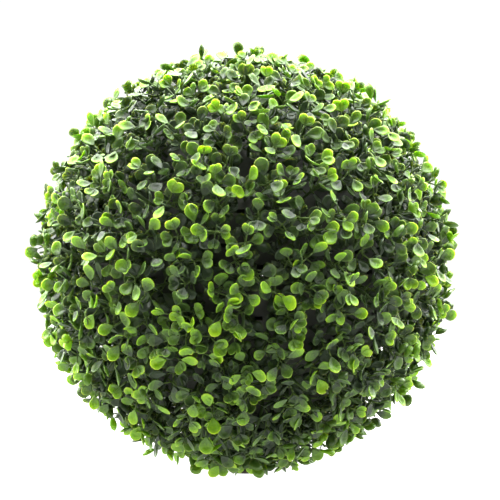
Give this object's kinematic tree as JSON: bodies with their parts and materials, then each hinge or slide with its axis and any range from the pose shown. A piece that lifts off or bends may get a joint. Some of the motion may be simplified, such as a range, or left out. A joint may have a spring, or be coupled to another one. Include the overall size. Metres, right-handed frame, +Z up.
{
  "type": "artificial box topiary ball",
  "caption": "Round artificial topiary ball of small moulded box leaves in sprigs, made as an upper and a lower half on a short tapered stem fixed at ground level.",
  "frame": {"origin": "middle of the flat cut under the stem, at ground level", "axes": "+Z up, -Y towards the camera of the picture, +X to its right"},
  "size_m": [0.4031, 0.4025, 0.4004],
  "materials": {
    "stem": "moulded brown plastic stem with shallow bark relief",
    "upper_leaves": "soft moulded plastic leaves, satin, deep green at the base and lime at the tips",
    "lower_leaves": "soft moulded plastic leaves, satin, deep green at the base and lime at the tips"
  },
  "bodies": {
    "root": {"stem": "stem", "upper_foliage": "upper_leaves", "lower_foliage": "lower_leaves"}
  },
  "joints": []
}
